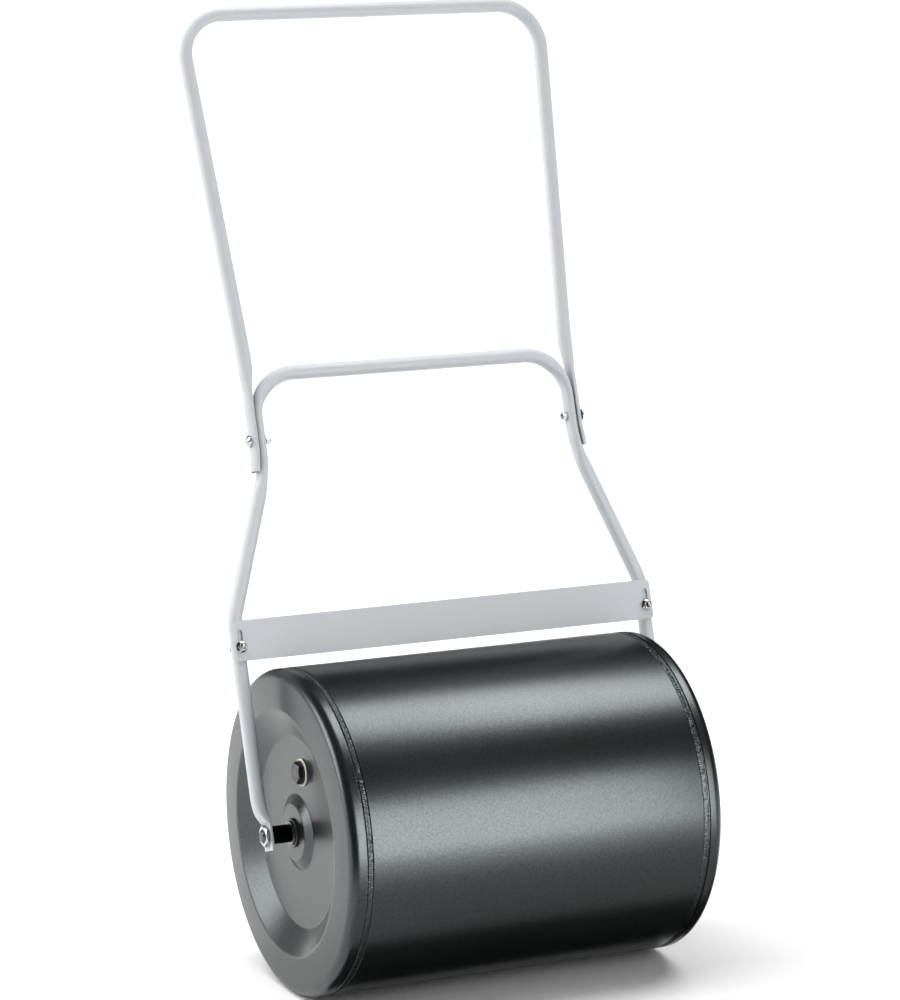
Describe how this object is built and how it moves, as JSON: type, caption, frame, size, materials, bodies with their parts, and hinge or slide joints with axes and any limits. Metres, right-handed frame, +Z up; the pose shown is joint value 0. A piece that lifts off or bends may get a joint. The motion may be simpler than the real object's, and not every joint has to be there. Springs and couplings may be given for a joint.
{
  "type": "lawn roller",
  "caption": "Push lawn roller: hollow steel drum on an axle between the arms of a bent tube frame, with a hairpin handle above and a sliding scraper plate.",
  "frame": {"origin": "on the ground under the middle of the drum, directly below the axle", "axes": "+Z up, +X along the axle away from the filler plug, +Y towards the side that the handle leans to"},
  "size_m": [0.5736, 0.5319, 1.1743],
  "materials": {
    "drum_paint": "satin black paint with a fine orange-peel texture",
    "weld": "rough weld bead under the satin black paint",
    "bare_steel": "bare rolled steel, darkened by its scale",
    "bush_plastic": "black moulded plastic",
    "seal": "pale fibre sealing ring",
    "plug_plastic": "black moulded plug",
    "frame_paint": "light silver-grey powder coat, semi-gloss",
    "plate_paint": "light silver-grey powder coat on flat sheet",
    "axle_steel": "turned steel with threaded ends",
    "spacer_black": "black spacer tube",
    "zinc": "bright zinc plate"
  },
  "bodies": {
    "frame": {"lower_frame": "frame_paint", "upper_handle": "frame_paint", "handle_bolt_left": "zinc", "handle_bolt_right": "zinc", "handle_nut_left": "zinc", "handle_nut_right": "zinc", "axle_rod": "axle_steel", "axle_nut_left": "zinc", "axle_nut_right": "zinc", "axle_spacer_left": "spacer_black", "axle_spacer_right": "spacer_black", "thrust_washer_left": "bare_steel", "thrust_washer_right": "bare_steel", "scraper_bolt_left": "zinc", "scraper_bolt_right": "zinc", "scraper_nut_left": "zinc", "scraper_nut_right": "zinc"},
    "drum": {"drum_shell": "drum_paint", "end_cap_left": "drum_paint", "end_cap_right": "drum_paint", "weld_bead_left": "weld", "weld_bead_right": "weld", "axle_tube": "bare_steel", "filler_bung": "bare_steel", "hub_bush_left": "bush_plastic", "hub_bush_right": "bush_plastic"},
    "scraper": {"scraper_plate": "plate_paint"},
    "seal": {"plug_seal": "seal"},
    "plug": {"filler_plug": "plug_plastic"}
  },
  "joints": [
    {"name": "drum_spin", "type": "hinge", "parent": "frame", "child": "drum", "pos_m": [0, 0, 0.2], "axis": [1, 0, 0], "continuous": true},
    {"name": "scraper_adjust", "type": "slide", "parent": "frame", "child": "scraper", "axis": [0, -0.3173, -0.9483], "range_m": [0, 0.01]},
    {"name": "plug_out", "type": "slide", "parent": "drum", "child": "seal", "axis": [-1, 0, 0], "range_m": [0, 0.0128]},
    {"name": "plug_turn", "type": "hinge", "parent": "seal", "child": "plug", "pos_m": [-0.24, -0.014, 0.278], "axis": [-1, 0, 0], "range_deg": [0, 2520]}
  ],
  "couplings": [
    {"joint": "plug_out", "follows": "plug_turn", "m_per_rad": 0.00028871}
  ]
}
